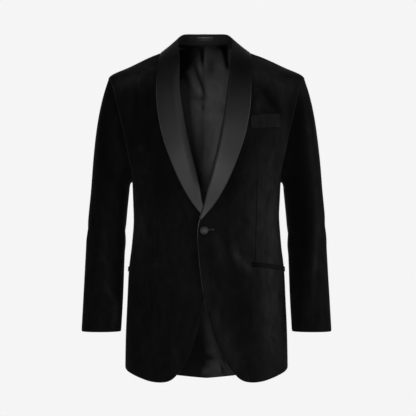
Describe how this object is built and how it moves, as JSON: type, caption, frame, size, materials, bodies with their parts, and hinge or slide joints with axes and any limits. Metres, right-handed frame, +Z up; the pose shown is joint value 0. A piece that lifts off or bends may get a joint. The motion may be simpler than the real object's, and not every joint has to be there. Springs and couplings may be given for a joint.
{
  "type": "tuxedo jacket",
  "caption": "Hollow velvet tuxedo jacket with a satin shawl collar, a covered button, a welt breast pocket and jetted hip pockets, filled out as worn.",
  "frame": {"origin": "midway between the shoulder tips, in the hollow, where the wearer's shoulders hold it", "axes": "+Z up, -Y out of the front, +X to the wearer's left"},
  "size_m": [0.58, 0.2661, 0.8186],
  "materials": {
    "velvet": "black cotton velvet",
    "satin": "black silk satin",
    "lining": "black lining twill",
    "label": "plain grey tape"
  },
  "bodies": {
    "root": {"back_left": "velvet", "back_lining_left": "lining", "back_lining_right": "lining", "back_right": "velvet", "breast_welt": "velvet", "button": "satin", "front_left": "velvet", "front_right": "velvet", "hip_jet_lower_left": "velvet", "hip_jet_lower_right": "velvet", "hip_jet_upper_left": "velvet", "hip_jet_upper_right": "velvet", "neck_label": "label", "shawl_collar_left": "satin", "shawl_collar_right": "satin", "side_left": "velvet", "side_right": "velvet", "top_sleeve_left": "velvet", "top_sleeve_right": "velvet", "under_sleeve_left": "velvet", "under_sleeve_right": "velvet"}
  },
  "joints": []
}
